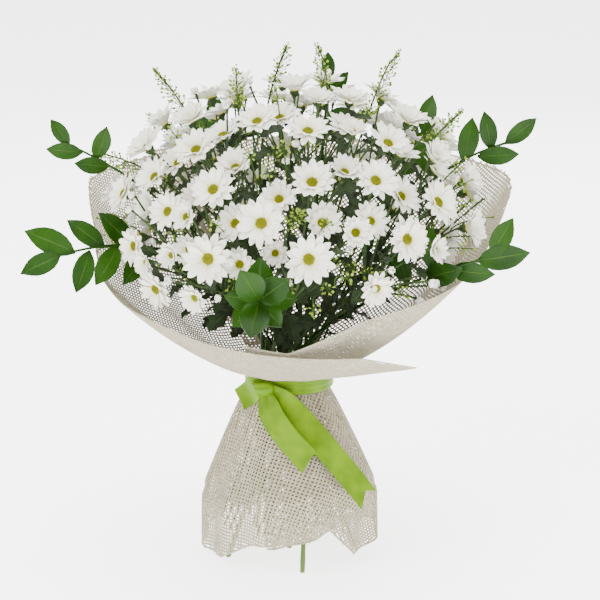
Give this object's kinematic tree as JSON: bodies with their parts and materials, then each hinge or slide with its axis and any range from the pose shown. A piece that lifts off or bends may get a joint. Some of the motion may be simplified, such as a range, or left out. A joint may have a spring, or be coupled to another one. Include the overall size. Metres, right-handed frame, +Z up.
{
  "type": "bunch of chrysanthemums",
  "caption": "Hand-tied bunch of white daisy spray chrysanthemums with ruscus and pennycress, in a cream net wrap with a green satin ribbon, standing on its spiral of cut stems.",
  "frame": {"origin": "on the ground, at the middle of the bunch seen from above", "axes": "+Z up along the bunch, -Y to the front with the knot and the low rim of the wrap, +X to the right seen from the front"},
  "size_m": [0.4948, 0.4449, 0.5309],
  "materials": {
    "petal": "matt petals",
    "leaf": "matt leaf",
    "ruscus": "waxy leaf",
    "pod": "matt pods",
    "net": "open weave",
    "ribbon": "satin",
    "twine": "raffia"
  },
  "bodies": {
    "root": {"spray_01_blooms": "petal", "spray_01_leafy_stem": "leaf", "spray_02_blooms": "petal", "spray_02_leafy_stem": "leaf", "spray_03_blooms": "petal", "spray_03_leafy_stem": "leaf", "spray_04_blooms": "petal", "spray_04_leafy_stem": "leaf", "spray_05_blooms": "petal", "spray_05_leafy_stem": "leaf", "spray_06_blooms": "petal", "spray_06_leafy_stem": "leaf", "spray_07_blooms": "petal", "spray_07_leafy_stem": "leaf", "spray_08_blooms": "petal", "spray_08_leafy_stem": "leaf", "spray_09_blooms": "petal", "spray_09_leafy_stem": "leaf", "spray_10_blooms": "petal", "spray_10_leafy_stem": "leaf", "spray_11_blooms": "petal", "spray_11_leafy_stem": "leaf", "spray_12_blooms": "petal", "spray_12_leafy_stem": "leaf", "spray_13_blooms": "petal", "spray_13_leafy_stem": "leaf", "spray_14_blooms": "petal", "spray_14_leafy_stem": "leaf", "spray_15_blooms": "petal", "spray_15_leafy_stem": "leaf", "ruscus_left": "ruscus", "ruscus_left_top": "ruscus", "ruscus_top": "ruscus", "ruscus_right_top": "ruscus", "ruscus_right": "ruscus", "ruscus_front": "ruscus", "ruscus_back_right": "ruscus", "ruscus_back_left": "ruscus", "pennycress_01": "pod", "pennycress_02": "pod", "pennycress_03": "pod", "pennycress_04": "pod", "pennycress_05": "pod", "pennycress_06": "pod", "pennycress_07": "pod", "pennycress_08": "pod", "pennycress_09": "pod", "pennycress_10": "pod", "wrap_sheet_inner": "net", "wrap_sheet_outer": "net", "ribbon": "ribbon", "binding_twine": "twine"}
  },
  "joints": []
}
